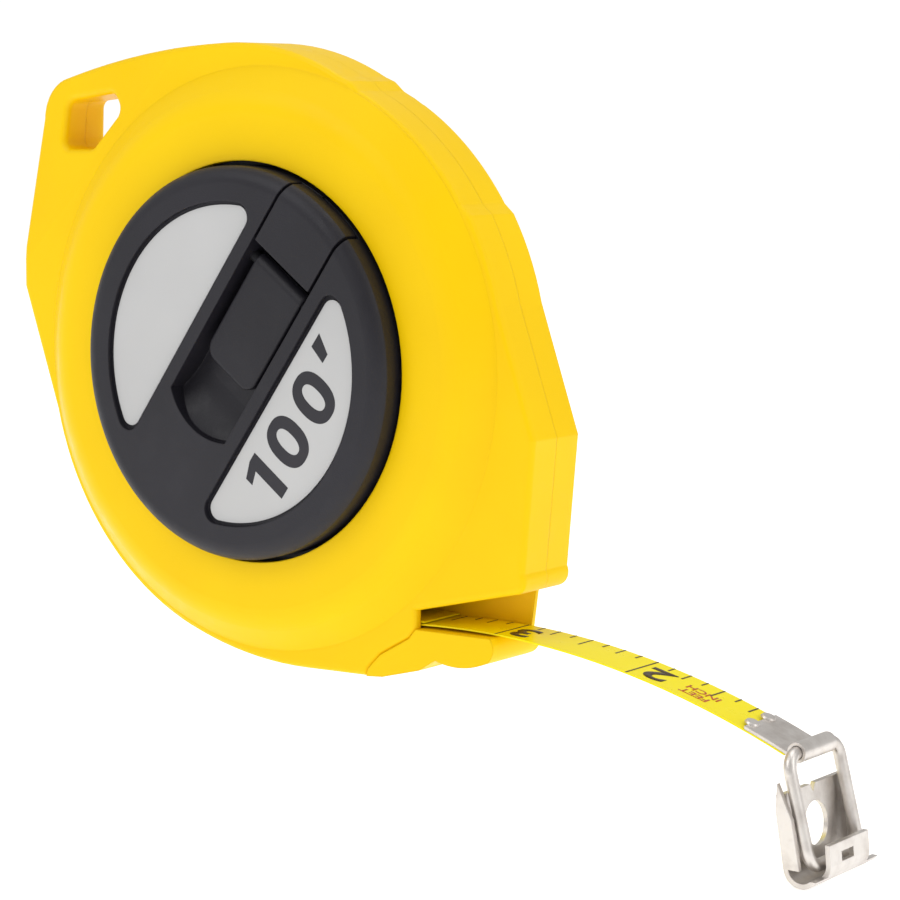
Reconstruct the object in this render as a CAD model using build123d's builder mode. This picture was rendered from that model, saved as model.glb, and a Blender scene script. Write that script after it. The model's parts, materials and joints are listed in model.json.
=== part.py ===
from build123d import *
import os
from math import atan2, cos, degrees, radians, sin, sqrt

# Long tape measure: a two-shell case around a reel, a crank disc with a folding handle,
# a blade and a double hook.  X runs towards the mouth, Y from front to back, Z up.
# The origin is at the centre of the flat rear face, on the reel axis.
# A height is the distance of a level from the rear face, towards the front (-Y).

os.makedirs("parts", exist_ok=True)

# ---- case ----
case_radius = 50.6
pad_height = 21.8          # whole thickness of the case at its round pads
slab_height = 13.0         # thickness of the case at its rim
pad_face_radius = 44.0
wall = 1.5
mid = pad_height / 2       # parting plane, and the middle of the blade's width
slab_rear = mid - slab_height / 2
slab_front = mid + slab_height / 2
edge_round = 0.9
pad_round = 1.2
grip_depth = 0.7           # recessed grip band on the rim
grip_from = 30
grip_to = 68
corner_from = 50.5         # distance from the reel axis where the hang corner starts to thin
corner_slope = 0.12
hole_round = 1.1
screw_points = ((-49.0, 24.0), (-24.0, 47.4), (49.0, -24.0))
screw_radius = 1.2
screw_head_radius = 2.3
screw_head_height = 1.6
screw_length = 9.5

# ---- blade ----
blade_width = 9.525
blade_thickness = 0.25
blade_arc = 155.0          # radius of the curve that the drawn blade hangs in
blade_x = 42.0             # where that curve is level
blade_z = -41.5
blade_start_x = 20.0
blade_end_x = 101.6
mouth_gap = 0.3
way_half = blade_width / 2 + 0.24

# ---- reel ----
axle_radius = 4.0
running_gap = 0.05
hub_radius = 15.0
flange_radius = 43.4
flange_thickness = 1.2
flange_gap = 0.15          # between the coil's sides and the flanges
coil_radius = 41.0
cavity_gap = 1.1           # between the flanges and the case
flange_half = blade_width / 2 + flange_gap + flange_thickness

# ---- crank disc ----
disc_radius = 33.0
disc_gap = 0.8
disc_lift = 0.9            # least gap between the front flange and the disc
disc_height = 8.4
disc_sink = 3.8            # of the disc's underside below the pad's face
disc_base = max(pad_height - disc_sink, mid + flange_half + disc_lift)
disc_face = disc_base + disc_height
disc_bevel = 2.8
disc_bevel_height = 1.8
crank_angle = 53.9         # direction of the channel, from +X towards +Z
channel_half = 7.5
channel_floor = disc_face - 4.8
channel_end = 2.6          # centre of the round end of the channel, towards the scoop
channel_end_radius = 11.2
label_radius = 26.6
label_chord = 10.5
label_gap = 0.6
label_thickness = 0.25
label_level = disc_face - 0.75
disc_screw_radius = 1.1
disc_screw_length = 9.0

# ---- crank handle ----
handle_half = 6.1
handle_thickness = 3.2
handle_top = disc_face - 1.4
handle_pin_u = 17.2
handle_far_u = -2.0
handle_bore_gap = 0.05
pin_radius = 1.0
pin_length = 19.0

# ---- drum lock ----
lock_from = 21.0
lock_half = 6.9
lock_gap = 0.15
lock_tongue_half = 2.4
lock_travel = 2.2
lock_notches = 12
tongue_height = 1.5
spring_wire = 0.3

# ---- hook ----
clip_thickness = 0.5
clip_from_x = 94.6
barrel_x = 103.7
barrel_z = -52.9
wire_radius = 1.0
ring_length = 16.9
ring_tilt = 14.5           # lean of the ring from the vertical, towards +X
ring_half = 7.4            # from the middle to the centre line of each leg
ring_corner = 2.6
barrel_half = 4.7
claw_thickness = 0.8
claw_half = 9.5
claw_bend = 1.75           # inner radius of the claw's fold round the ring's lower bar
claw_tilt = -8.0
claw_height = 10.6
claw_tab = 3.2
nail_radius = 3.4
nail_height = 4.6


def level(height):
    """The sketch plane at this height above the rear face."""
    return Plane.XZ.offset(height)


def blade_height_at(x, drop=0.0):
    """Z of the drawn blade's middle surface, lowered by drop along the radius."""
    return blade_z - blade_arc + sqrt((blade_arc - drop) ** 2 - (x - blade_x) ** 2)


# Crank frame: its local X is the channel's direction, its local Z points to the front.
crank_dir = Vector(cos(radians(crank_angle)), 0, sin(radians(crank_angle)))


def crank_level(height):
    """The sketch plane at this height, turned so that its X runs along the channel."""
    return Plane(origin=(0, -height, 0), x_dir=crank_dir, z_dir=(0, -1, 0))


def crank_side(offset):
    """The plane along the channel and the reel axis; local X is u and local Y is height."""
    side_dir = Vector(-sin(radians(crank_angle)), 0, cos(radians(crank_angle)))
    start = side_dir * offset
    return Plane(origin=(start.X, 0, start.Z), x_dir=crank_dir, z_dir=crank_dir.cross(Vector(0, -1, 0)))


def radial(angle, radius):
    return (radius * cos(radians(angle)), radius * sin(radians(angle)))


mouth_top = (33.0, -39.2)
nose_seam = ((23.0, -50.0), (25.6, -47.4), (31.6, -44.0), (33.0, -42.3))
nose_end_x = 48.5
nose_top = blade_height_at(nose_end_x, blade_thickness / 2 + mouth_gap)


def case_outline(with_back):
    """The rim's outline: a circle with a hang corner at top left and a mouth at lower right."""
    with BuildSketch() as flat:
        with BuildLine():
            right = Line(radial(13, case_radius), (56.6, -9.5))
            facet = Line(right @ 1, (54.6, -31.0))
            lip = ThreePointArc(facet @ 1, (54.6, -33.2), (52.6, -34.5))
            if with_back:
                back = Polyline(lip @ 1, (49.0, -35.6), (nose_end_x - 0.4, nose_top), (33.0, -42.3))
            else:
                back = Polyline(lip @ 1, mouth_top, (33.0, -42.3))
            seam = Polyline(back @ 1, nose_seam[2], nose_seam[1], nose_seam[0], (22.6, -51.4))
            chin = Line(seam @ 1, (9.0, -51.8))
            belly = ThreePointArc(chin @ 1, (-1.5, -51.3), radial(253, case_radius))
            under = ThreePointArc(belly @ 1, radial(224, case_radius), radial(193, case_radius))
            left = Line(under @ 1, (-57.0, 10.5))
            cheek = Polyline(left @ 1, (-56.9, 17.5), (-53.2, 40.5))
            corner = ThreePointArc(cheek @ 1, (-51.7, 45.2), (-47.5, 47.7))
            brow = ThreePointArc(corner @ 1, (-28.0, 51.6), (-8.0, 53.4))
            crown = TangentArc(brow @ 1, radial(70, case_radius), tangent=brow % 1)
            ThreePointArc(crown @ 1, radial(42, case_radius), right @ 0)
        make_face()
    return flat.sketch


def hang_hole():
    """The hang hole's outline: a rounded quadrilateral."""
    with BuildSketch() as flat:
        with BuildLine():
            FilletPolyline((-47.6, 35.2), (-39.6, 35.2), (-32.4, 42.0), (-34.6, 45.0), (-46.6, 43.6),
                           radius=1.9, close=True)
        make_face()
    return flat.sketch


def pad_profile(slab, face):
    """Half section of a round pad from the slab's level to its face, its shoulder rounded."""
    inwards = 1 if face > slab else -1
    foot = case_radius - edge_round - 0.2
    slope = (foot - pad_face_radius) / (face - slab)
    low = face - inwards * pad_round
    with BuildSketch() as flat:
        with BuildLine():
            side = Polyline((0, slab - inwards), (foot, slab - inwards), (foot, slab),
                            (pad_face_radius + slope * (face - low), low))
            crest = TangentArc((pad_face_radius - 2.2, face), side @ 1, tangent=(1, 0))
            Polyline(crest @ 0, (0, face), (0, slab - inwards))
        make_face()
    return flat.sketch


cavity_radius = case_radius - 2.4
flange_cavity = flange_radius + cavity_gap


def cavity_profile():
    """Half section of the whole inside of the case, about the reel axis."""
    deep = mid - 2.0
    with BuildSketch() as flat:
        with BuildLine():
            Polyline(
                (0, mid - deep), (39.0, mid - deep), (39.0, mid - flange_half - 0.7),
                (flange_cavity, mid - flange_half - 0.7), (flange_cavity, mid - way_half),
                (cavity_radius, mid - way_half), (cavity_radius, mid + way_half), (flange_cavity, mid + way_half),
                (flange_cavity, mid + flange_half + 0.7), (39.0, mid + flange_half + 0.7),
                (39.0, mid + deep), (0, mid + deep), close=True,
            )
        make_face()
    return flat.sketch


# Half sections for a revolve: local X is the radius and local Y is the height.
section = Plane(origin=(0, 0, 0), x_dir=(1, 0, 0), z_dir=(0, 0, -1))


def blade_strip(first_x, last_x, drop, thickness):
    """Side outline of a strip that follows the drawn blade, lowered by drop."""
    top = drop - thickness / 2
    low = drop + thickness / 2
    middle = (first_x + last_x) / 2
    with BuildSketch() as flat:
        with BuildLine():
            upper = ThreePointArc((first_x, blade_height_at(first_x, top)),
                                  (middle, blade_height_at(middle, top)),
                                  (last_x, blade_height_at(last_x, top)))
            lower = ThreePointArc((first_x, blade_height_at(first_x, low)),
                                  (middle, blade_height_at(middle, low)),
                                  (last_x, blade_height_at(last_x, low)))
            Line(upper @ 0, lower @ 0)
            Line(upper @ 1, lower @ 1)
        make_face()
    return flat.sketch


def mouth_way():
    """Outline of the way for the blade, from the cavity out to the mouth."""
    with BuildSketch() as flat:
        with BuildLine():
            Polyline((14.0, -42.0), (33.2, -39.2), (52.0, -34.0), (60.0, -36.0),
                     (60.0, -42.0), (nose_end_x, nose_top), (33.0, -42.3), (16.0, -45.6), close=True)
        make_face()
    return flat.sketch


deep = mid - 2.0                       # half depth of the cavity behind the pads

# ---------------------------------------------------------------- case


def rod(radius, point, low, high):
    """A round rod along the reel axis's direction, between two heights."""
    with BuildPart() as piece:
        with BuildSketch(level(low)):
            with Locations(point):
                Circle(radius)
        extrude(amount=high - low)
    return piece.part


tongue_points = ((22.2, -49.0), (28.5, -49.0), (28.5, -46.2), (22.2, -46.2))
tongue_half = 2.5
tongue_gap = 0.05


def nose_tongue(clearance):
    """Outline of the mouth piece's tongue, or with a clearance, of its pocket."""
    with BuildSketch() as flat:
        with BuildLine():
            FilletPolyline(*tongue_points, radius=1.2, close=True)
        make_face()
        if clearance:
            offset(amount=clearance)
    return flat.sketch


def case_inside():
    """The cavity, the blade's way out and the tongue's pocket, as one tool."""
    with BuildPart() as piece:
        with BuildSketch(section):
            add(cavity_profile())
        revolve(axis=Axis.Y)
        with BuildSketch(level(mid - way_half)):
            add(mouth_way())
        extrude(amount=2 * way_half)
        with BuildSketch(level(mid - tongue_half - tongue_gap)):
            add(nose_tongue(tongue_gap))
        extrude(amount=2 * tongue_half + 2 * tongue_gap)
    return piece.part


def grip_band():
    """The shallow band that is taken off the round rim, as a tool."""
    with BuildPart() as piece:
        with BuildSketch(level(slab_rear - 1)):
            with BuildLine():
                inner = ThreePointArc(radial(grip_from + 3, case_radius - grip_depth),
                                      radial((grip_from + grip_to) / 2, case_radius - grip_depth),
                                      radial(grip_to - 3, case_radius - grip_depth))
                outer = ThreePointArc(radial(grip_from, case_radius + 0.1),
                                      radial((grip_from + grip_to) / 2, case_radius + 4),
                                      radial(grip_to, case_radius + 0.1))
                Line(inner @ 0, outer @ 0)
                Line(inner @ 1, outer @ 1)
            make_face()
        extrude(amount=slab_height + 2)
    return piece.part


def corner_wedge(face, inwards):
    """The wedge that comes off one face, so that the hang corner thins towards its tip."""
    corner_dir = Vector(-1, 0, 1).normalized()
    side = Plane(origin=(0, 0, 0), x_dir=corner_dir, z_dir=corner_dir.cross(Vector(0, -1, 0)))
    reach = 30.0
    with BuildPart() as piece:
        with BuildSketch(side):
            with BuildLine():
                Polyline((corner_from, face), (corner_from + reach, face + inwards * reach * corner_slope),
                         (corner_from + reach, face - inwards), (corner_from, face - inwards), close=True)
            make_face()
        extrude(amount=60, both=True)
    return piece.part


def rim_edges(faces):
    """The outer edges of two faces that meet at a crease, without the crease."""
    first = faces[0].outer_wire().edges()
    second = faces[1].outer_wire().edges()
    outer = [edge for edge in first if not any(edge.is_same(other) for other in second)]
    return outer + [edge for edge in second if not any(edge.is_same(other) for other in first)]


def hole_edges(faces):
    """The edges of the hole in whichever of these faces has one."""
    return [edge for face in faces for wire in face.inner_wires() for edge in wire.edges()]


with BuildPart() as front_shell:
    with BuildSketch(level(mid)):
        add(case_outline(False))
    extrude(amount=slab_height / 2)
    add(grip_band(), mode=Mode.SUBTRACT)
    add(corner_wedge(slab_front, -1), mode=Mode.SUBTRACT)
    front_faces = front_shell.faces().sort_by(Axis.Y)[0:2]
    fillet(rim_edges(front_faces), edge_round)
    with BuildSketch(level(mid)):
        add(hang_hole())
    extrude(amount=slab_height, mode=Mode.SUBTRACT)
    fillet(hole_edges(front_shell.faces().filter_by(GeomType.PLANE).sort_by(Axis.Y)[0:2]), hole_round)
    with BuildSketch(section):
        add(pad_profile(slab_front, pad_height))
    revolve(axis=Axis.Y)
    add(case_inside(), mode=Mode.SUBTRACT)
    add(rod(disc_radius + disc_gap, (0, 0), mid, pad_height + 1), mode=Mode.SUBTRACT)
    with BuildSketch(level(mid + deep - 0.1)):
        with PolarLocations(0, lock_notches, start_angle=crank_angle):
            with Locations((disc_radius + disc_gap, 0)):
                Rectangle(2 * lock_travel - 0.4, 2 * lock_tongue_half + 0.6)
    extrude(amount=tongue_height + 0.2, mode=Mode.SUBTRACT)
    for screw_point in screw_points:
        add(rod(screw_radius, screw_point, mid - 1, slab_rear + screw_head_height + screw_length), mode=Mode.SUBTRACT)
front_shell.part.label = "front_shell"
export_step(front_shell.part, "parts/front_shell.step")

with BuildPart() as rear_shell:
    with BuildSketch(level(slab_rear)):
        add(case_outline(True))
    extrude(amount=slab_height / 2)
    add(grip_band(), mode=Mode.SUBTRACT)
    add(corner_wedge(slab_rear, 1), mode=Mode.SUBTRACT)
    rear_faces = rear_shell.faces().sort_by(Axis.Y)[-2:]
    fillet(rim_edges(rear_faces), edge_round)
    with BuildSketch(level(0)):
        add(hang_hole())
    extrude(amount=mid, mode=Mode.SUBTRACT)
    fillet(hole_edges(rear_shell.faces().filter_by(GeomType.PLANE).sort_by(Axis.Y)[-2:]), hole_round)
    with BuildSketch(section):
        add(pad_profile(slab_rear, 0))
    revolve(axis=Axis.Y)
    add(case_inside(), mode=Mode.SUBTRACT)
    for screw_point in screw_points:
        add(rod(screw_radius, screw_point, 0, mid), mode=Mode.SUBTRACT)
        add(rod(screw_head_radius + 0.2, screw_point, 0, slab_rear + screw_head_height), mode=Mode.SUBTRACT)
rear_shell.part.label = "rear_shell"
export_step(rear_shell.part, "parts/rear_shell.step")

with BuildPart() as mouth_piece:
    with BuildSketch(level(slab_rear)):
        with BuildLine():
            seam_line = Polyline((22.6, -51.4), *nose_seam)
            top_line = Line(seam_line @ 1, (nose_end_x - 0.4, nose_top))
            nose_end = ThreePointArc(top_line @ 1, (nose_end_x + 0.3, nose_top - 1.6), (47.0, -46.4))
            hollow = ThreePointArc(nose_end @ 1, (41.6, -47.6), (37.0, -47.0))
            Polyline(hollow @ 1, (33.6, -49.1), (26.0, -51.1), (22.6, -51.4))
        make_face()
    extrude(amount=slab_height)
    with BuildSketch(level(mid - tongue_half)):
        add(nose_tongue(0))
    extrude(amount=2 * tongue_half)
mouth_piece.part.label = "mouth_piece"
export_step(mouth_piece.part, "parts/mouth_piece.step")

with BuildPart() as case_screws:
    for screw_point in screw_points:
        with BuildSketch(level(slab_rear)):
            with Locations(screw_point):
                Circle(screw_head_radius)
        extrude(amount=screw_head_height)
        with BuildSketch(level(slab_rear + screw_head_height)):
            with Locations(screw_point):
                Circle(screw_radius)
        extrude(amount=screw_length)
        with BuildSketch(level(slab_rear)):
            with Locations(screw_point):
                Rectangle(2.6, 0.5)
                Rectangle(0.5, 2.6)
        extrude(amount=0.9, mode=Mode.SUBTRACT)
case_screws.part.label = "case_screws"
export_step(case_screws.part, "parts/case_screws.step")

# ---------------------------------------------------------------- reel

coil_half = blade_width / 2
side_in = coil_half + flange_gap
side_out = side_in + flange_thickness
washer_radius = 7.0
washer_thickness = 0.8
washer_seat = mid + side_out - 0.3
spigot_radius = 12.0
axle_foot_radius = 9.0
end_play = 0.2
axle_screw_radius = 1.5
axle_screw_head = 3.4


def tube(outer, inner, low, high):
    """A round piece about the reel axis, with a bore if inner isn't zero."""
    with BuildPart() as piece:
        with BuildSketch(level(low)):
            Circle(outer)
            if inner:
                Circle(inner, mode=Mode.SUBTRACT)
        extrude(amount=high - low)
    return piece.part


with BuildPart() as spool_axle:
    add(tube(axle_foot_radius, 0, mid - deep, mid - side_out - end_play))
    add(tube(axle_radius, 0, mid - side_out - end_play, washer_seat))
    add(rod(axle_screw_radius, (0, 0), washer_seat - 8.0, washer_seat), mode=Mode.SUBTRACT)
spool_axle.part.label = "spool_axle"
export_step(spool_axle.part, "parts/spool_axle.step")

with BuildPart() as axle_washer:
    add(tube(washer_radius, axle_screw_radius + 0.1, washer_seat, washer_seat + washer_thickness))
axle_washer.part.label = "axle_washer"
export_step(axle_washer.part, "parts/axle_washer.step")

with BuildPart() as axle_screw:
    screw_seat = washer_seat + washer_thickness
    add(tube(axle_screw_radius, 0, washer_seat - 7.5, screw_seat))
    add(tube(axle_screw_head, 0, screw_seat, screw_seat + 1.7))
    with BuildSketch(level(screw_seat + 0.8)):
        Rectangle(3.6, 0.7)
        Rectangle(0.7, 3.6)
    extrude(amount=1.0, mode=Mode.SUBTRACT)
axle_screw.part.label = "axle_screw"
export_step(axle_screw.part, "parts/axle_screw.step")

disc_screw_points = ((0, 12.6), (0, -12.6))
disc_screw_head = 2.1
disc_screw_seat = label_level - label_thickness - 1.5
anchor_point = radial(200, 13.2)
anchor_radius = 1.0

with BuildPart() as drum:
    add(tube(spigot_radius, 0, mid - side_out, mid - side_in))
    add(tube(hub_radius, 0, mid - side_in, disc_base))
    add(tube(flange_radius, 0, mid + side_in, mid + side_out))
    add(rod(axle_radius + running_gap, (0, 0), mid - side_out, disc_base), mode=Mode.SUBTRACT)
    add(rod(washer_radius + 0.3, (0, 0), washer_seat - 0.1, disc_base), mode=Mode.SUBTRACT)
    add(rod(anchor_radius, anchor_point, mid - side_in, mid + side_in), mode=Mode.SUBTRACT)
    with BuildSketch(crank_level(disc_screw_seat - disc_screw_length)):
        with Locations(disc_screw_points):
            Circle(disc_screw_radius)
    extrude(amount=disc_screw_length, mode=Mode.SUBTRACT)
drum.part.label = "drum"
export_step(drum.part, "parts/drum.step")

with BuildPart() as rear_flange:
    add(tube(flange_radius, spigot_radius, mid - side_out, mid - side_in))
    with BuildSketch(level(mid - side_out)):
        with PolarLocations((flange_radius + hub_radius) / 2, 6):
            Circle(6.0)
    extrude(amount=flange_thickness, mode=Mode.SUBTRACT)
rear_flange.part.label = "rear_flange"
export_step(rear_flange.part, "parts/rear_flange.step")

with BuildPart() as tape_coil:
    add(tube(coil_radius, hub_radius, mid - coil_half, mid + coil_half))
tape_coil.part.label = "tape_coil"
export_step(tape_coil.part, "parts/tape_coil.step")

with BuildPart() as blade_anchor:
    with BuildSketch(level(mid - coil_half)):
        with Locations(anchor_point):
            Circle(anchor_radius)
    extrude(amount=blade_width)
blade_anchor.part.label = "blade_anchor"
export_step(blade_anchor.part, "parts/blade_anchor.step")

# ---------------------------------------------------------------- crank disc

label_floor = label_level - label_thickness
handle_mid = handle_top - handle_thickness / 2


def disc_body():
    """The whole disc, before its channel and pockets are cut."""
    with BuildPart() as piece:
        with BuildSketch(section):
            with BuildLine():
                Polyline((0, disc_base), (disc_radius, disc_base), (disc_radius, disc_face - disc_bevel_height))
                ThreePointArc((disc_radius, disc_face - disc_bevel_height),
                              (disc_radius - 0.95, disc_face - 0.62), (disc_radius - disc_bevel, disc_face))
                Polyline((disc_radius - disc_bevel, disc_face), (0, disc_face), (0, disc_base))
            make_face()
        revolve(axis=Axis.Y)
    return piece.part


def label_outline(side, radius, chord, corner):
    """A segment of a circle beside the channel; side is 1 for the left label, -1 for the right."""
    with BuildSketch() as flat:
        Circle(radius)
        with Locations((0, side * (chord + radius))):
            Rectangle(3 * radius, 2 * radius, mode=Mode.INTERSECT)
        fillet(flat.vertices(), corner)
    return flat.sketch


scoop_start = -6.0
scoop_end = -13.6

with BuildPart() as channel_tool:
    with BuildSketch(crank_level(channel_floor)):
        with BuildLine():
            Polyline((scoop_end + channel_end, -channel_half), (disc_radius + 2, -channel_half),
                     (disc_radius + 2, channel_half), (scoop_end + channel_end, channel_half))
            ThreePointArc((scoop_end + channel_end, channel_half), (scoop_end, 0),
                          (scoop_end + channel_end, -channel_half))
        make_face()
    extrude(amount=disc_face - channel_floor + 1)
    with BuildSketch(crank_side(0)):
        with BuildLine():
            slope = ThreePointArc((scoop_start, channel_floor), (-10.6, 22.9), (scoop_end - 0.4, disc_face - 0.9))
            Polyline(slope @ 1, (scoop_end - 0.4, channel_floor - 1), (scoop_start, channel_floor - 1),
                     (scoop_start, channel_floor))
        make_face()
    extrude(amount=2 * channel_half, both=True, mode=Mode.SUBTRACT)

with BuildPart() as crank_disc:
    add(disc_body())
    add(channel_tool.part, mode=Mode.SUBTRACT)
    for label_side in (1, -1):
        with BuildSketch(crank_level(label_floor)):
            add(label_outline(label_side, label_radius + label_gap, label_chord - label_gap, 2.4))
        extrude(amount=2, mode=Mode.SUBTRACT)
    with BuildSketch(crank_level(disc_base)):
        with Locations(disc_screw_points):
            Circle(disc_screw_radius)
    extrude(amount=disc_face - disc_base, mode=Mode.SUBTRACT)
    with BuildSketch(crank_level(disc_screw_seat)):
        with Locations(disc_screw_points):
            Circle(disc_screw_head + 0.1)
    extrude(amount=3, mode=Mode.SUBTRACT)
    add(rod(washer_radius + 0.6, (0, 0), disc_base, disc_base + 1.9), mode=Mode.SUBTRACT)
    with BuildSketch(level(disc_base)):
        Circle(disc_radius - 2.5)
        Circle(hub_radius + 2, mode=Mode.SUBTRACT)
    extrude(amount=2.0, mode=Mode.SUBTRACT)
    with BuildSketch(crank_level(disc_base)):
        with Locations((disc_radius - 1.0, 0)):
            Rectangle(10.4, 2 * lock_tongue_half + 2 * lock_gap)
    extrude(amount=channel_floor - disc_base, mode=Mode.SUBTRACT)
    with BuildSketch(crank_side(0)):
        with Locations((handle_pin_u, handle_mid)):
            Circle(pin_radius)
    extrude(amount=pin_length / 2, both=True, mode=Mode.SUBTRACT)
crank_disc.part.label = "crank_disc"
export_step(crank_disc.part, "parts/crank_disc.step")

with BuildPart() as disc_screws:
    with BuildSketch(crank_level(disc_screw_seat - disc_screw_length)):
        with Locations(disc_screw_points):
            Circle(disc_screw_radius)
    extrude(amount=disc_screw_length)
    with BuildSketch(crank_level(disc_screw_seat)):
        with Locations(disc_screw_points):
            Circle(disc_screw_head)
    extrude(amount=1.4)
disc_screws.part.label = "disc_screws"
export_step(disc_screws.part, "parts/disc_screws.step")

for label_name, label_side in (("left_label", 1), ("right_label", -1)):
    with BuildPart() as label_plate:
        with BuildSketch(crank_level(label_floor)):
            add(label_outline(label_side, label_radius, label_chord, 2.0))
        extrude(amount=label_thickness)
    label_plate.part.label = label_name
    export_step(label_plate.part, "parts/" + label_name + ".step")

with BuildPart() as crank_pin:
    with BuildSketch(crank_side(0)):
        with Locations((handle_pin_u, handle_mid)):
            Circle(pin_radius)
    extrude(amount=pin_length / 2, both=True)
crank_pin.part.label = "crank_pin"
export_step(crank_pin.part, "parts/crank_pin.step")

with BuildPart() as crank_handle:
    with BuildSketch(crank_side(0)):
        with BuildLine():
            base = Line((handle_far_u, handle_mid - handle_thickness / 2),
                        (handle_pin_u, handle_mid - handle_thickness / 2))
            nose = ThreePointArc(base @ 1, (handle_pin_u + handle_thickness / 2, handle_mid),
                                 (handle_pin_u, handle_top))
            Polyline(nose @ 1, (handle_far_u, handle_top), base @ 0)
        make_face()
    extrude(amount=handle_half, both=True)
    far_edges = crank_handle.edges().filter_by(Axis.Y)
    fillet(far_edges, 2.6)
    fillet(crank_handle.faces().sort_by(Axis.Y)[0].edges(), 0.5)
    with BuildSketch(crank_side(0)):
        with Locations((handle_pin_u, handle_mid)):
            Circle(pin_radius + handle_bore_gap)
    extrude(amount=handle_half + 1, both=True, mode=Mode.SUBTRACT)
crank_handle.part.label = "crank_handle"
export_step(crank_handle.part, "parts/crank_handle.step")

lock_low = channel_floor + spring_wire + 0.05
tongue_low = mid + deep + 0.1

with BuildPart() as lock_slider:
    add(disc_body())
    with BuildSketch(crank_level(lock_low)):
        with Locations(((lock_from + disc_radius + 2) / 2, 0)):
            Rectangle(disc_radius + 2 - lock_from, 2 * lock_half)
    extrude(amount=disc_face - lock_low, mode=Mode.INTERSECT)
    with BuildSketch(crank_level(tongue_low)):
        with Locations((disc_radius - 3.1, 0)):
            Rectangle(5.8, 2 * lock_tongue_half)
    extrude(amount=tongue_height - 0.2)
    with BuildSketch(crank_level(tongue_low)):
        with Locations((disc_radius - 4.4, 0)):
            Rectangle(3.2, 2 * lock_tongue_half)
    extrude(amount=lock_low - tongue_low)
lock_slider.part.label = "lock_slider"
export_step(lock_slider.part, "parts/lock_slider.step")

with BuildPart() as lock_spring:
    with BuildSketch(crank_side(0)):
        with BuildLine():
            Polyline((21.8, channel_floor), (26.0, channel_floor), (26.0, channel_floor + spring_wire / 2))
            ThreePointArc((26.0, channel_floor + spring_wire / 2), (23.9, channel_floor + spring_wire),
                          (21.8, channel_floor + spring_wire / 2))
            Line((21.8, channel_floor + spring_wire / 2), (21.8, channel_floor))
        make_face()
    extrude(amount=2.5, both=True)
lock_spring.part.label = "lock_spring"
export_step(lock_spring.part, "parts/lock_spring.step")

# ---------------------------------------------------------------- blade

lead_z = -(coil_radius + 0.15 + blade_thickness / 2)
lead_end_x = 33.6

with BuildPart() as blade_lead:
    with BuildSketch(level(mid - coil_half)):
        with Locations((lead_end_x / 2, lead_z)):
            Rectangle(lead_end_x, blade_thickness)
    extrude(amount=blade_width)
blade_lead.part.label = "blade_lead"
export_step(blade_lead.part, "parts/blade_lead.step")

rivet_x = 97.7
rivet_spread = 2.35
rivet_radius = 0.7
rivet_head = 1.25
rivet_lean = degrees(atan2(rivet_x - blade_x, blade_arc))
clip_skin = blade_thickness / 2 + clip_thickness


def rivet_plane(drop):
    """The plane across the blade at the rivets, this far below the blade's middle surface."""
    lean = radians(rivet_lean)
    radius = blade_arc - drop
    axis = Vector(sin(lean), 0, cos(lean))
    x = blade_x + radius * sin(lean)
    z = blade_z - blade_arc + radius * cos(lean)
    return Plane(origin=(x, -mid, z), x_dir=(0, 1, 0), z_dir=axis)


def rivet_shanks(low, high, radius):
    """The two rivets' rods across the blade, between two distances below its middle surface."""
    with BuildPart() as piece:
        with BuildSketch(rivet_plane(low)):
            with Locations((-rivet_spread, 0), (rivet_spread, 0)):
                Circle(radius)
        extrude(amount=low - high)
    return piece.part


with BuildPart() as blade:
    with BuildSketch(level(mid - coil_half)):
        add(blade_strip(blade_start_x, blade_end_x, 0, blade_thickness))
    extrude(amount=blade_width)
    add(rivet_shanks(1.5, -2.0, rivet_radius), mode=Mode.SUBTRACT)
blade.part.label = "blade"
export_step(blade.part, "parts/blade.step")

barrel_gap = 0.08
barrel_in = wire_radius + barrel_gap
barrel_out = barrel_in + clip_thickness

with BuildPart() as hook_clip:
    with BuildSketch(level(mid - barrel_half)):
        add(blade_strip(clip_from_x, barrel_x - 1.2, -blade_thickness / 2 - clip_thickness / 2, clip_thickness))
        with Locations((barrel_x, barrel_z)):
            Circle(barrel_out)
            Circle(barrel_in, mode=Mode.SUBTRACT)
    extrude(amount=2 * barrel_half)
    add(rivet_shanks(1.5, -2.0, rivet_radius), mode=Mode.SUBTRACT)
hook_clip.part.label = "hook_clip"
export_step(hook_clip.part, "parts/hook_clip.step")

with BuildPart() as clip_rivets:
    with BuildSketch(rivet_plane(blade_thickness / 2)):
        with Locations((-rivet_spread, 0), (rivet_spread, 0)):
            Circle(rivet_radius)
    extrude(amount=blade_thickness + clip_thickness)
    with BuildSketch(rivet_plane(-clip_skin)):
        with Locations((-rivet_spread, 0), (rivet_spread, 0)):
            Circle(rivet_head)
    extrude(amount=0.35, taper=35)
    with BuildSketch(rivet_plane(blade_thickness / 2 + 0.3)):
        with Locations((-rivet_spread, 0), (rivet_spread, 0)):
            Circle(rivet_head - 0.15)
    extrude(amount=0.3)
clip_rivets.part.label = "clip_rivets"
export_step(clip_rivets.part, "parts/clip_rivets.step")

# ---------------------------------------------------------------- ring and claw

ring_down = Vector(sin(radians(ring_tilt)), 0, -cos(radians(ring_tilt)))
ring_plane = Plane(origin=(barrel_x, -mid, barrel_z), x_dir=(0, 1, 0),
                   z_dir=Vector(0, 1, 0).cross(ring_down))
bar_x = barrel_x + ring_length * sin(radians(ring_tilt))
bar_z = barrel_z - ring_length * cos(radians(ring_tilt))

with BuildSketch(ring_plane) as ring_outline:
    with Locations((0, ring_length / 2)):
        RectangleRounded(2 * ring_half, ring_length, ring_corner)
ring_path = ring_outline.sketch.face().outer_wire()

with BuildPart() as end_ring:
    with BuildSketch(Plane(origin=ring_path @ 0, z_dir=ring_path % 0)):
        Circle(wire_radius)
    sweep(path=ring_path)
end_ring.part.label = "end_ring"
export_step(end_ring.part, "parts/end_ring.step")

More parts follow.
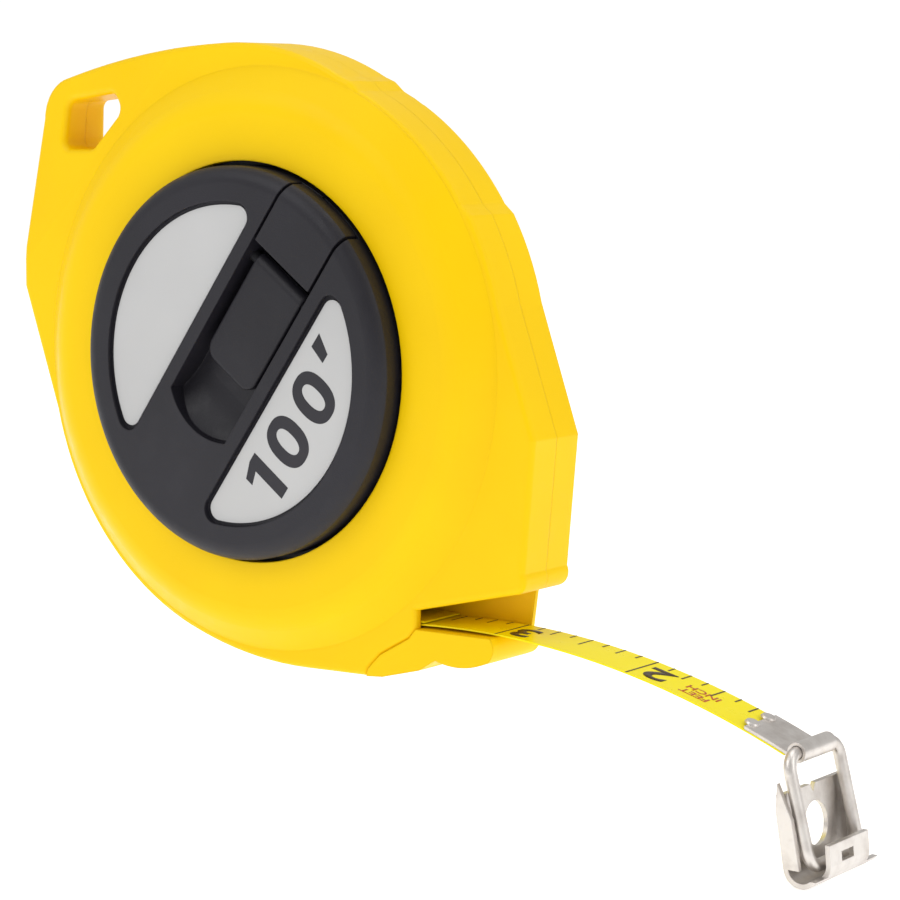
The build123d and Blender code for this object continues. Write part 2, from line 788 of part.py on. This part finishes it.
fold_x = bar_x - 0.4
fold_z = bar_z + 0.25
fold_in = 2.2
fold_out = fold_in + claw_thickness
tab_half = 5.9
flange_reach = 2.7
lean = claw_height * sin(radians(-claw_tilt))
plate_angle = atan2(lean, claw_height)
plate_out = Vector(cos(plate_angle), 0, sin(plate_angle))
plate_x = fold_x - (fold_in + fold_out) / 2
nail_plane = Plane(origin=(plate_x - lean * nail_height / claw_height, -mid, fold_z + nail_height),
                   x_dir=(0, 1, 0), z_dir=plate_out)
notch_top = claw_height + 1 - nail_height
notch_low = claw_height - 1.2 - nail_height

with BuildPart() as claw:
    with BuildSketch(level(mid - claw_half)):
        with BuildLine():
            outside = ThreePointArc((fold_x - fold_out, fold_z), (fold_x, fold_z - fold_out),
                                    (fold_x + fold_out, fold_z))
            inside = ThreePointArc((fold_x - fold_in, fold_z), (fold_x, fold_z - fold_in),
                                   (fold_x + fold_in, fold_z))
            Polyline(outside @ 0, (fold_x - fold_out - lean, fold_z + claw_height),
                     (fold_x - fold_in - lean, fold_z + claw_height), inside @ 0)
            Polyline(outside @ 1, (fold_x + fold_out - 0.3, fold_z + claw_tab),
                     (fold_x + fold_in - 0.3, fold_z + claw_tab), inside @ 1)
        make_face()
    extrude(amount=2 * claw_half)
    # the tab stands between the ring's legs
    for leg_side in (1, -1):
        with BuildSketch(level(mid + leg_side * tab_half)):
            with BuildLine():
                Polyline((fold_x + 1.2, fold_z - 1.6), (fold_x + 5, fold_z - 1.6),
                         (fold_x + 5, fold_z + 5), (fold_x + 1.2, fold_z + 5), close=True)
            make_face()
        extrude(amount=leg_side * claw_half, mode=Mode.SUBTRACT)
    # side flanges outside the legs, each with its pointed end
    for leg_side, point_height in ((1, 12.3), (-1, 14.8)):
        near = fold_x - fold_out
        with BuildSketch(level(mid + leg_side * claw_half)):
            with BuildLine():
                Polyline((near, fold_z - 0.4), (near - lean, fold_z + claw_height - 2.4),
                         (near - lean + 0.2, fold_z + point_height),
                         (near + flange_reach - lean, fold_z + claw_height - 3.4),
                         (near + flange_reach, fold_z - 0.4), close=True)
            make_face()
        extrude(amount=-leg_side * claw_thickness)
    with BuildSketch(nail_plane):
        Circle(nail_radius)
        with BuildLine():
            Polyline((-1.5, notch_top), (0, notch_low), (1.5, notch_top), close=True)
        make_face()
    extrude(amount=1.5 * claw_thickness, both=True, mode=Mode.SUBTRACT)
    with BuildSketch(Plane(origin=(fold_x, -mid, fold_z), x_dir=(0, 1, 0), z_dir=(1, 0, 0))):
        with Locations((-0.6, 1.0)):
            Rectangle(3.6, 1.5)
    extrude(amount=6.0, mode=Mode.SUBTRACT)
claw.part.label = "claw"
export_step(claw.part, "parts/claw.step")
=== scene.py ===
import json
from math import asin, cos, pi, radians, sin

import bpy
from mathutils import Matrix, Vector


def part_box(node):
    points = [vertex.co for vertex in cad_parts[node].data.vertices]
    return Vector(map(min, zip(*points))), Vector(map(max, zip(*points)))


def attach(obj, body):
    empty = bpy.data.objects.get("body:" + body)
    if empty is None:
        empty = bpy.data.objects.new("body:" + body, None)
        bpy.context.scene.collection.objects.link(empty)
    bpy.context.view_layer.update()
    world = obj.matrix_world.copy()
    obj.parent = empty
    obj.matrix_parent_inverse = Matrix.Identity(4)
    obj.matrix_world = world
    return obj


# Long tape measure with a crank disc: finishes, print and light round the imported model.
# Metres. X runs towards the mouth, Y from front to back, Z up; the reel turns about Y.

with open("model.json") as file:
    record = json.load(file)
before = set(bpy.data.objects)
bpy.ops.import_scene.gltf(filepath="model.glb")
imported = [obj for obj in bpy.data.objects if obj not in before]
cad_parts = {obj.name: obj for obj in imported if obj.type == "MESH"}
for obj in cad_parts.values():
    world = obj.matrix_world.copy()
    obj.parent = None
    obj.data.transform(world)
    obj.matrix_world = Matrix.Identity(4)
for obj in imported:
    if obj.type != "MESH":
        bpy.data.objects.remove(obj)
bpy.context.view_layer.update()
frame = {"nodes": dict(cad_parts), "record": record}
nodes = frame["nodes"]
MM = 0.001


def joint(name):
    """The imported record's entry for one joint."""
    return next(j for j in frame["record"]["behaviour"]["joints"] if j["name"] == name)


def deselect():
    """Clears the selection, so that an operator meets only the piece it is meant for."""
    bpy.ops.object.select_all(action="DESELECT")


deselect()

# ---- places, worked out from the frame ----
channel = Vector(joint("lock_slide")["axis"])
across = Vector(joint("handle_fold")["axis"])
towards_front = Vector((0, -1, 0))
label_top = -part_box("right_label")[0][1]
curve_centre = Vector(joint("blade_feed")["pos_m"])
blade_low, blade_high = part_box("blade")
blade_width = blade_high[1] - blade_low[1]
blade_back = blade_high[1]
blade_radius = blade_high[2] - curve_centre.z
floor_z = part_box("claw")[0][2] - 0.2 * MM

INCH = 25.4 * MM
three_inch_x = 47.9 * MM          # where the 3-inch line stands on the drawn blade


# ---------------------------------------------------------------- shader groups

def group(name, inputs, outputs):
    """A shader node group with named sockets; returns it with its input and output nodes."""
    tree = bpy.data.node_groups.new(name, "ShaderNodeTree")
    for label, kind, value in inputs:
        made = tree.interface.new_socket(label, in_out="INPUT", socket_type=kind)
        made.default_value = value
    for label, kind in outputs:
        tree.interface.new_socket(label, in_out="OUTPUT", socket_type=kind)
    return tree, tree.nodes.new("NodeGroupInput"), tree.nodes.new("NodeGroupOutput")


FLOAT = "NodeSocketFloat"
COLOUR = "NodeSocketColor"


def add_math(tree, operation, first, second):
    """A math node fed by sockets or numbers; returns its result."""
    node = tree.nodes.new("ShaderNodeMath")
    node.operation = operation
    for slot, value in zip(node.inputs, (first, second)):
        if isinstance(value, (int, float)):
            slot.default_value = value
        else:
            tree.links.new(value, slot)
    return node.outputs[0]


def add_noise(tree, scale, detail=3.0, roughness=0.5):
    """Noise over the piece's own coordinates; returns its value."""
    place = tree.nodes.new("ShaderNodeTexCoord")
    noise = tree.nodes.new("ShaderNodeTexNoise")
    noise.inputs["Scale"].default_value = scale
    noise.inputs["Detail"].default_value = detail
    noise.inputs["Roughness"].default_value = roughness
    tree.links.new(place.outputs["Object"], noise.inputs["Vector"])
    return noise.outputs["Fac"]


def add_ramp(tree, value, low, high):
    """Stretches a value between two levels to the range 0 to 1; returns it."""
    ramp = tree.nodes.new("ShaderNodeMapRange")
    ramp.inputs["From Min"].default_value = low
    ramp.inputs["From Max"].default_value = high
    tree.links.new(value, ramp.inputs["Value"])
    return ramp.outputs["Result"]


def add_mix(tree, factor, first, second):
    """Mixes two colours, given as sockets or values; returns the colour."""
    mix = tree.nodes.new("ShaderNodeMix")
    mix.data_type = "RGBA"
    tree.links.new(factor, mix.inputs["Factor"])
    for slot, value in ((mix.inputs["A"], first), (mix.inputs["B"], second)):
        if isinstance(value, tuple):
            slot.default_value = value
        else:
            tree.links.new(value, slot)
    return mix.outputs["Result"]


def make_moulding():
    """Moulded plastic: a fine spark grain, slow tone drift and rubbed patches."""
    tree, given, out = group(
        "moulded_surface",
        (("Colour", COLOUR, (0.5, 0.5, 0.5, 1)), ("Shade", COLOUR, (0.4, 0.4, 0.4, 1)),
         ("Roughness", FLOAT, 0.4), ("Rub", FLOAT, 0.1)),
        (("Colour", COLOUR), ("Roughness", FLOAT), ("Height", FLOAT)))
    drift = add_ramp(tree, add_noise(tree, 28.0, 3.0), 0.35, 0.7)
    toned = add_mix(tree, drift, given.outputs["Colour"], given.outputs["Shade"])
    tree.links.new(toned, out.inputs["Colour"])
    rubbed = add_ramp(tree, add_noise(tree, 160.0, 6.0, 0.65), 0.52, 0.68)
    polish = add_math(tree, "MULTIPLY", rubbed, given.outputs["Rub"])
    tree.links.new(add_math(tree, "SUBTRACT", given.outputs["Roughness"], polish), out.inputs["Roughness"])
    grain = add_noise(tree, 4200.0, 2.0)
    flow = add_noise(tree, 90.0, 2.0)
    tree.links.new(add_math(tree, "ADD", grain, add_math(tree, "MULTIPLY", flow, 1.2)), out.inputs["Height"])
    return tree


def make_metal_skin():
    """Plated or rolled metal: soft stains, fine scratches along one way and a little grain."""
    tree, given, out = group(
        "metal_skin",
        (("Colour", COLOUR, (0.5, 0.5, 0.5, 1)), ("Stain", COLOUR, (0.3, 0.28, 0.25, 1)),
         ("Roughness", FLOAT, 0.3), ("Scratch", FLOAT, 0.1)),
        (("Colour", COLOUR), ("Roughness", FLOAT), ("Height", FLOAT)))
    stain = add_ramp(tree, add_noise(tree, 260.0, 6.0, 0.6), 0.42, 0.78)
    stained = add_mix(tree, stain, given.outputs["Colour"], given.outputs["Stain"])
    tree.links.new(stained, out.inputs["Colour"])
    place = tree.nodes.new("ShaderNodeTexCoord")
    drawn = tree.nodes.new("ShaderNodeMapping")
    drawn.inputs["Scale"].default_value = (300.0, 3500.0, 300.0)
    lines = tree.nodes.new("ShaderNodeTexNoise")
    lines.inputs["Scale"].default_value = 1.0
    lines.inputs["Detail"].default_value = 3.0
    tree.links.new(place.outputs["Object"], drawn.inputs["Vector"])
    tree.links.new(drawn.outputs["Vector"], lines.inputs["Vector"])
    mark = add_math(tree, "MULTIPLY", lines.outputs["Fac"], given.outputs["Scratch"])
    tree.links.new(add_math(tree, "ADD", given.outputs["Roughness"], mark), out.inputs["Roughness"])
    tree.links.new(lines.outputs["Fac"], out.inputs["Height"])
    return tree


moulding = make_moulding()
metal_skin = make_metal_skin()


def finish(name, skin, values, relief, metallic=0.0, coat=0.0, edge=0.0, specular=0.5):
    """A material from a skin group, with its own values, relief in metres and softened edges."""
    made = bpy.data.materials.new(name)
    made.use_nodes = True
    tree = made.node_tree
    shader = tree.nodes["Principled BSDF"]
    shader.inputs["Metallic"].default_value = metallic
    shader.inputs["Coat Weight"].default_value = coat
    shader.inputs["Coat Roughness"].default_value = 0.15
    shader.inputs["Specular IOR Level"].default_value = specular
    surface = tree.nodes.new("ShaderNodeGroup")
    surface.node_tree = skin
    for label, value in values.items():
        surface.inputs[label].default_value = value
    tree.links.new(surface.outputs["Colour"], shader.inputs["Base Color"])
    tree.links.new(surface.outputs["Roughness"], shader.inputs["Roughness"])
    bump = tree.nodes.new("ShaderNodeBump")
    bump.inputs["Distance"].default_value = relief
    tree.links.new(surface.outputs["Height"], bump.inputs["Height"])
    if edge:
        softened = tree.nodes.new("ShaderNodeBevel")
        softened.samples = 4
        softened.inputs["Radius"].default_value = edge
        tree.links.new(softened.outputs["Normal"], bump.inputs["Normal"])
    tree.links.new(bump.outputs["Normal"], shader.inputs["Normal"])
    return made


case_yellow = finish("case_yellow", moulding, {
    "Colour": (0.94, 0.615, 0.0, 1), "Shade": (0.90, 0.57, 0.0, 1), "Roughness": 0.42, "Rub": 0.12},
    0.00002, edge=0.0004, specular=0.14)
disc_black = finish("disc_black", moulding, {
    "Colour": (0.016, 0.015, 0.021, 1), "Shade": (0.011, 0.010, 0.014, 1), "Roughness": 0.46, "Rub": 0.14},
    0.00003, edge=0.0003, specular=0.32)
reel_black = finish("reel_black", moulding, {
    "Colour": (0.03, 0.03, 0.03, 1), "Shade": (0.02, 0.02, 0.02, 1), "Roughness": 0.5, "Rub": 0.1}, 0.00002)
label_card = finish("label_card", moulding, {
    "Colour": (0.54, 0.54, 0.54, 1), "Shade": (0.49, 0.49, 0.49, 1), "Roughness": 0.45, "Rub": 0.1},
    0.000008, specular=0.3)
label_ink = finish("label_ink", moulding, {
    "Colour": (0.028, 0.026, 0.033, 1), "Shade": (0.02, 0.02, 0.025, 1), "Roughness": 0.5, "Rub": 0.1},
    0.000005, specular=0.3)
blade_enamel = finish("blade_enamel", moulding, {
    "Colour": (0.93, 0.80, 0.0, 1), "Shade": (0.90, 0.74, 0.0, 1), "Roughness": 0.36, "Rub": 0.1},
    0.000008, coat=0.04, specular=0.16)
scale_ink = finish("scale_ink", moulding, {
    "Colour": (0.07, 0.045, 0.02, 1), "Shade": (0.05, 0.035, 0.02, 1), "Roughness": 0.4, "Rub": 0.1},
    0.000004, specular=0.3)
unit_ink = finish("unit_ink", moulding, {
    "Colour": (0.55, 0.10, 0.02, 1), "Shade": (0.45, 0.07, 0.02, 1), "Roughness": 0.4, "Rub": 0.1},
    0.000004, specular=0.3)
plated_nickel = finish("plated_nickel", metal_skin, {
    "Colour": (0.72, 0.68, 0.64, 1), "Stain": (0.52, 0.47, 0.43, 1), "Roughness": 0.3, "Scratch": 0.16},
    0.000012, metallic=0.9, edge=0.00015)
zinc_steel = finish("zinc_steel", metal_skin, {
    "Colour": (0.55, 0.55, 0.56, 1), "Stain": (0.40, 0.40, 0.40, 1), "Roughness": 0.3, "Scratch": 0.15},
    0.00001, metallic=0.95, edge=0.0001)

pin_black = finish("pin_black", metal_skin, {
    "Colour": (0.03, 0.03, 0.034, 1), "Stain": (0.02, 0.02, 0.022, 1), "Roughness": 0.42, "Scratch": 0.1},
    0.00001, metallic=0.6, edge=0.0001)

node_finish = {
    case_yellow: ("front_shell", "rear_shell", "mouth_piece"),
    disc_black: ("crank_disc", "crank_handle", "lock_slider"),
    reel_black: ("drum", "rear_flange"),
    label_card: ("left_label", "right_label"),
    blade_enamel: ("blade", "blade_lead", "tape_coil"),
    pin_black: ("crank_pin",),
    plated_nickel: ("hook_clip", "clip_rivets", "end_ring", "claw"),
    zinc_steel: ("case_screws", "spool_axle", "axle_washer", "axle_screw", "blade_anchor", "disc_screws",
                 "lock_spring"),
}
for material, names in node_finish.items():
    for name in names:
        mesh = nodes[name].data
        mesh.materials.clear()
        mesh.materials.append(material)


# ---------------------------------------------------------------- modelling helpers

def edit(piece):
    """Opens a piece in edit mode with everything selected."""
    deselect()
    piece.select_set(True)
    bpy.context.view_layer.objects.active = piece
    bpy.ops.object.mode_set(mode="EDIT")
    bpy.ops.mesh.select_all(action="SELECT")


def leave_edit():
    """Closes edit mode and clears the selection."""
    bpy.ops.object.mode_set(mode="OBJECT")
    deselect()


def flat_plate(points):
    """A flat face with these corners, in the drawing's own X and Y."""
    deselect()
    bpy.ops.mesh.primitive_circle_add(vertices=len(points), radius=1.0, fill_type="NGON")
    plate = bpy.context.active_object
    for vertex, point in zip(plate.data.vertices, points):
        vertex.co = (point[0], point[1], 0)
    return plate


def joined(pieces, name):
    """Several drawn pieces as one, under a plain name."""
    deselect()
    for piece in pieces:
        piece.select_set(True)
    bpy.context.view_layer.objects.active = pieces[0]
    if len(pieces) > 1:
        bpy.ops.object.join()
    whole = bpy.context.active_object
    whole.name = name
    whole.data.name = name
    bpy.ops.object.transform_apply(location=True, rotation=True, scale=True)
    deselect()
    return whole


def thicken(piece, depth):
    """Gives a flat print its thin body, upwards along the drawing's Z."""
    edit(piece)
    bpy.ops.mesh.normals_make_consistent(inside=False)
    bpy.ops.mesh.extrude_region_move(TRANSFORM_OT_translate={"value": (0, 0, depth)})
    bpy.ops.mesh.select_all(action="SELECT")
    bpy.ops.mesh.normals_make_consistent(inside=False)
    leave_edit()


def settle(piece, place, material, body):
    """Moves every point of a drawn piece to its place, then gives it its finish and its body."""
    for vertex in piece.data.vertices:
        vertex.co = place(vertex.co)
    edit(piece)
    bpy.ops.mesh.normals_make_consistent(inside=False)
    leave_edit()
    piece.data.materials.clear()
    piece.data.materials.append(material)
    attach(piece, body)


# ---------------------------------------------------------------- label print

PRINT_DEPTH = 0.03 * MM
PRINT_SINK = 0.01 * MM            # how far a print's underside lies in its surface
SQUARENESS = 0.86                 # below 1, an oval's flanks bulge towards a rectangle's
ZERO_OUTSIDE = (3.65 * MM, 4.7 * MM)
ZERO_INSIDE = (1.45 * MM, 2.75 * MM)
ZERO_CENTRES = (-2.1, 7.4)


def oval(centre, half_width, half_height, steps=64):
    """Corners of a squarish oval, as a printed zero has."""
    corners = []
    for step in range(steps):
        turn = 2 * pi * step / steps
        c, s = cos(turn), sin(turn)
        x = abs(c) ** SQUARENESS * (1 if c > 0 else -1)
        y = abs(s) ** SQUARENESS * (1 if s > 0 else -1)
        corners.append((centre[0] + half_width * x, centre[1] + half_height * y))
    return corners


def printed_zero(centre):
    """A bold zero: an outer and an inner oval, emptied and bridged."""
    outer = flat_plate(oval(centre, *ZERO_OUTSIDE))
    inner = flat_plate(oval(centre, *ZERO_INSIDE))
    zero = joined([outer, inner], "zero")
    edit(zero)
    bpy.ops.mesh.delete(type="ONLY_FACE")
    bpy.ops.mesh.select_all(action="SELECT")
    bpy.ops.mesh.bridge_edge_loops()
    leave_edit()
    return zero


def mm(points):
    """Drawn corners, given in millimetres."""
    return [(x * MM, y * MM) for x, y in points]


baseline = -22.0
cap = 9.0
one = flat_plate(mm(((-10.7, baseline), (-8.3, baseline), (-8.3, baseline + cap), (-10.2, baseline + cap),
                     (-13.1, baseline + 7.9), (-13.1, baseline + 6.2), (-10.7, baseline + 7.0))))
foot_mark = flat_plate(mm(((13.2, -15.7), (15.0, -15.7), (16.7, -12.3), (13.9, -12.3))))
zeros = [printed_zero((x * MM, (baseline + cap / 2) * MM)) for x in ZERO_CENTRES]
length_print = joined([one, foot_mark] + zeros, "length_print")
thicken(length_print, PRINT_DEPTH)


def on_label(point):
    """Drawing X runs along the channel and Y across it; Z rises from the label."""
    height = label_top + point.z - PRINT_SINK
    return channel * point.x + across * point.y + towards_front * height


settle(length_print, on_label, label_ink, "reel")


# ---------------------------------------------------------------- blade print

three_inch_turn = asin((three_inch_x - curve_centre.x) / blade_radius)


def on_blade(point):
    """Drawing X runs along the blade from the 3-inch line; Y from its far edge to its near one."""
    radius = blade_radius + point.z
    turn = three_inch_turn + point.x / blade_radius
    return Vector((curve_centre.x + radius * sin(turn), blade_back - point.y,
                   curve_centre.z + radius * cos(turn)))


def tick(along, length, width, from_edge=0.0):
    """One graduation across the blade, cut into short lengths so that it can bend."""
    deselect()
    bpy.ops.mesh.primitive_grid_add(x_subdivisions=1, y_subdivisions=4, size=1.0)
    mark = bpy.context.active_object
    mark.data.transform(Matrix.Translation((along, from_edge + length / 2, 0))
                        @ Matrix.Diagonal((width, length, 1, 1)))
    return mark


MARK_WIDTH = 0.3 * MM
SHORT_MARK = 2.0 * MM
FIRST_EIGHTH, LAST_EIGHTH = 9, 30      # eighths of an inch from the blade's zero end
LINE_AT = 24                           # the eighth that the drawing's X is measured from
eighth_lengths = {0: blade_width * 0.995, 4: 4.3 * MM, 2: 3.0 * MM, 6: 3.0 * MM}
graduations = []
for eighth in range(FIRST_EIGHTH, LAST_EIGHTH + 1):
    along = (LINE_AT - eighth) * INCH / 8
    length = eighth_lengths.get(eighth % 8, SHORT_MARK)
    graduations.append(tick(along, length, MARK_WIDTH))
scale_marks = joined(graduations, "scale_marks")
thicken(scale_marks, PRINT_DEPTH)
settle(scale_marks, on_blade, scale_ink, "blade")


def lettering(text, size, along, from_edge, stretch=1.0, bold=0.0):
    """Plain upright letters, turned to read from the far side and cut fine enough to bend."""
    deselect()
    bpy.ops.object.text_add()
    letters = bpy.context.active_object
    letters.data.body = text
    letters.data.size = size
    letters.data.offset = bold
    letters.data.resolution_u = 6
    bpy.ops.object.convert(target="MESH")
    letters = bpy.context.active_object
    low = Vector((min(v.co.x for v in letters.data.vertices), min(v.co.y for v in letters.data.vertices), 0))
    letters.data.transform(Matrix.Diagonal((-stretch, -1, 1, 1)) @ Matrix.Translation(-low))
    wide = max(v.co.x for v in letters.data.vertices) - min(v.co.x for v in letters.data.vertices)
    high = max(v.co.y for v in letters.data.vertices) - min(v.co.y for v in letters.data.vertices)
    turned = Matrix.Diagonal((1, -1, 1, 1))
    letters.data.transform(Matrix.Translation((along + wide, from_edge, 0)) @ turned)
    return letters


NUMERAL_SIZE = 7.4 * MM
NUMERAL_GAP = 1.1 * MM                 # between an inch line and its numeral
numerals = [
    lettering(text, NUMERAL_SIZE, inches * INCH + NUMERAL_GAP, 2.6 * MM, stretch=1.25, bold=0.22 * MM)
    for text, inches in (("3", 0), ("2", 1))
]
inch_numerals = joined(numerals, "inch_numerals")
thicken(inch_numerals, PRINT_DEPTH)
settle(inch_numerals, on_blade, scale_ink, "blade")

UNIT_SIZE = 2.3 * MM
unit_along = INCH + 8.6 * MM
unit_rows = [
    lettering(text, UNIT_SIZE, unit_along, from_edge, stretch=1.1, bold=0.04 * MM)
    for text, from_edge in (("FEET", 5.9 * MM), ("INCH", 3.7 * MM))
]
unit_words = joined(unit_rows, "unit_words")
thicken(unit_words, PRINT_DEPTH)
settle(unit_words, on_blade, unit_ink, "blade")


# ---------------------------------------------------------------- floor, light and camera

def add_floor():
    """A wide pale floor under the lowest piece."""
    deselect()
    bpy.ops.mesh.primitive_plane_add(size=12.0, location=(0, 0, floor_z))
    floor = bpy.context.active_object
    floor.name = "floor"
    paper = bpy.data.materials.new("floor_paper")
    paper.use_nodes = True
    shader = paper.node_tree.nodes["Principled BSDF"]
    shader.inputs["Base Color"].default_value = (0.93, 0.93, 0.93, 1)
    shader.inputs["Roughness"].default_value = 0.9
    shader.inputs["Specular IOR Level"].default_value = 0.1
    shader.inputs["Emission Color"].default_value = (1, 1, 1, 1)
    shader.inputs["Emission Strength"].default_value = 0.52
    floor.data.materials.append(paper)


def add_softbox(name, place, target, size, power):
    """A large soft light that faces the target."""
    lamp = bpy.data.lights.new(name, "AREA")
    lamp.shape = "RECTANGLE"
    lamp.size, lamp.size_y = size
    lamp.energy = power
    box = bpy.data.objects.new(name, lamp)
    bpy.context.collection.objects.link(box)
    facing = (Vector(target) - Vector(place)).to_track_quat("-Z", "Y")
    box.matrix_world = Matrix.Translation(place) @ facing.to_matrix().to_4x4()


def add_world():
    """White behind the object, and an even, dimmer light from all round."""
    world = bpy.data.worlds.new("studio")
    bpy.context.scene.world = world
    world.use_nodes = True
    tree = world.node_tree
    back = tree.nodes["Background"]
    path = tree.nodes.new("ShaderNodeLightPath")
    level = tree.nodes.new("ShaderNodeMapRange")
    level.inputs["To Min"].default_value = 0.56
    level.inputs["To Max"].default_value = 1.05
    tree.links.new(path.outputs["Is Camera Ray"], level.inputs["Value"])
    tree.links.new(level.outputs["Result"], back.inputs["Strength"])
    back.inputs["Color"].default_value = (1, 1, 1, 1)


CAMERA_AZIMUTH = 37.347
CAMERA_ELEVATION = 7.243
CAMERA_LENS = 107.96
CAMERA_PLACE = (0.30124, -0.35955, 0.04261)


def add_camera():
    """A long lens from the right and a little above."""
    azimuth, elevation = radians(CAMERA_AZIMUTH), radians(CAMERA_ELEVATION)
    right = Vector((cos(azimuth), sin(azimuth), 0))
    back = Vector((sin(azimuth) * cos(elevation), -cos(azimuth) * cos(elevation), sin(elevation)))
    up = back.cross(right)
    lens = bpy.data.cameras.new("camera")
    lens.lens = CAMERA_LENS
    lens.sensor_width = 36.0
    lens.clip_start = 0.01
    camera = bpy.data.objects.new("camera", lens)
    bpy.context.collection.objects.link(camera)
    turned = Matrix((right, up, back)).transposed().to_4x4()
    camera.matrix_world = Matrix.Translation(CAMERA_PLACE) @ turned
    bpy.context.scene.camera = camera


add_floor()
add_world()
for name, place, target, size, power in (
        ("key", (-0.35, -0.75, 0.75), (0, 0, 0), (0.7, 0.7), 3.0),
        ("rim", (0.85, 0.1, 0.45), (0.02, 0, 0), (0.5, 0.8), 2.0),
        ("top", (0.05, 0.15, 0.95), (0, 0, 0), (0.9, 0.6), 2.5)):
    add_softbox(name, place, target, size, power)
add_camera()
bpy.context.scene.view_settings.view_transform = "Standard"
